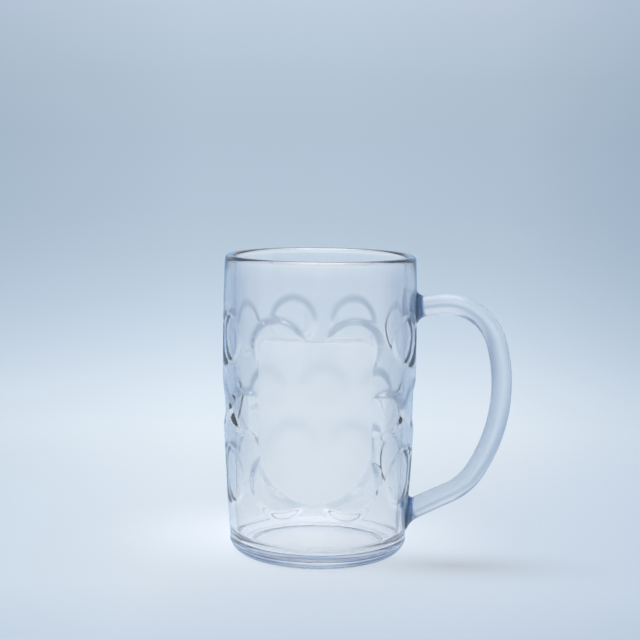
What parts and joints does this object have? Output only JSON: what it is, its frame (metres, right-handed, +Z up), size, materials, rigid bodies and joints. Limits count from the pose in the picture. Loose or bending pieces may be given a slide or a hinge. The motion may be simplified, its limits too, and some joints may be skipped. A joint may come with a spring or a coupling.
{
  "type": "beer mug",
  "caption": "Clear plastic beer mug: barrelled tumbler with staggered rows of pressed eyes, a flush shield panel on the front and a round D-shaped handle welded to its side.",
  "frame": {"origin": "centre of the standing ring, in its plane on the table, on the tumbler's axis", "axes": "+Z up along the tumbler's axis, -Y towards the shield on the front, +X towards the handle"},
  "size_m": [0.1306, 0.0874, 0.135],
  "materials": {
    "clear_plastic": "polished clear moulded SAN with a faint blue tint"
  },
  "bodies": {
    "root": {"body": "clear_plastic", "handle": "clear_plastic"}
  },
  "joints": []
}
